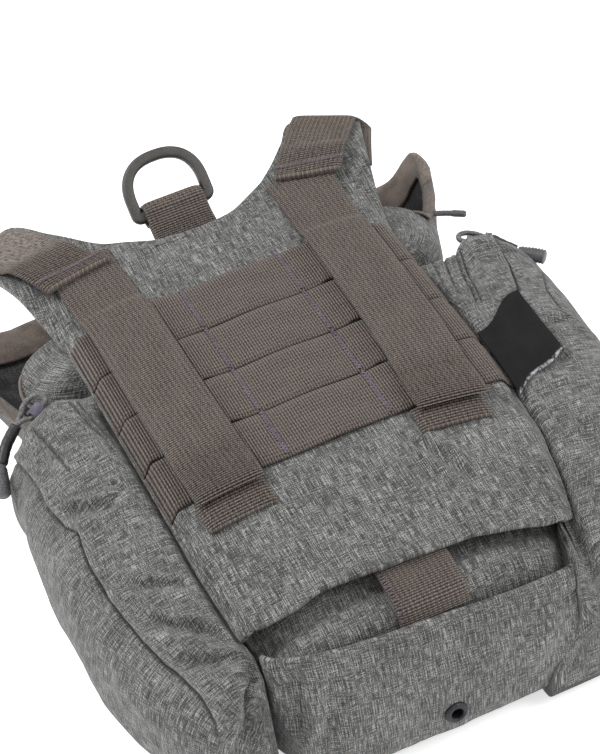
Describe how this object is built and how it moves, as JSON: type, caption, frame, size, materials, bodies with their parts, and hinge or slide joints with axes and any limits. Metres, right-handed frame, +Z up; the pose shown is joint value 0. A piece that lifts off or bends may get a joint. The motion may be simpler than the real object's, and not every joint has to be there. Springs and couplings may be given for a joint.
{
  "type": "kit bag",
  "caption": "Small soft kit bag lying on its front: open collar, side pockets, webbing rows and straps on the back panel, a hang loop with a swinging D-ring and a bottom slot with a pull tab.",
  "frame": {"origin": "under the middle of the bag without its pulls, on the surface that it lies on", "axes": "+X across the back panel, +Y from the bottom to the mouth, +Z up out of the back panel"},
  "size_m": [0.2274, 0.2601, 0.0953],
  "materials": {
    "heather_cloth": "heathered grey woven cloth",
    "facing_cloth": "plain taupe woven cloth",
    "webbing": "ribbed taupe webbing",
    "ring_plastic": "moulded dark grey plastic",
    "label_cloth": "black woven ribbon, bare",
    "eyelet_metal": "dark gunmetal",
    "pull_ribbon": "narrow purple-grey ribbon",
    "pull_cord": "braided grey cord",
    "pull_rubber": "matt black shrink sleeve",
    "pull_plastic": "moulded grey end"
  },
  "bodies": {
    "bag": {"main_bag": "heather_cloth", "collar_facing": "facing_cloth", "bottom_panel": "heather_cloth", "drain_eyelet": "eyelet_metal", "back_panel": "heather_cloth", "webbing_row_1": "webbing", "webbing_row_2": "webbing", "webbing_row_3": "webbing", "webbing_row_4": "webbing", "back_strap_left": "webbing", "back_strap_right": "webbing", "strap_tail_left": "webbing", "strap_tail_right": "webbing", "ear_webbing_left": "webbing", "ear_webbing_right": "webbing", "hang_loop": "webbing", "bottom_tab": "webbing", "side_pocket_left": "heather_cloth", "side_pocket_right": "heather_cloth", "care_label": "label_cloth", "pull_ribbon_left": "pull_ribbon", "pull_ribbon_right": "pull_ribbon", "pull_cord_left": "pull_cord", "pull_cord_right": "pull_cord", "pull_sleeve_left": "pull_rubber", "pull_sleeve_right": "pull_rubber", "pull_end_left": "pull_plastic", "pull_end_right": "pull_plastic", "collar_cord_end": "pull_plastic"},
    "ring": {"d_ring": "ring_plastic"}
  },
  "joints": [
    {"name": "ring_swing", "type": "hinge", "parent": "bag", "child": "ring", "pos_m": [-0.00611, 0.10336, 0.0782], "axis": [1, 0, 0], "range_deg": [-103, 122]}
  ]
}
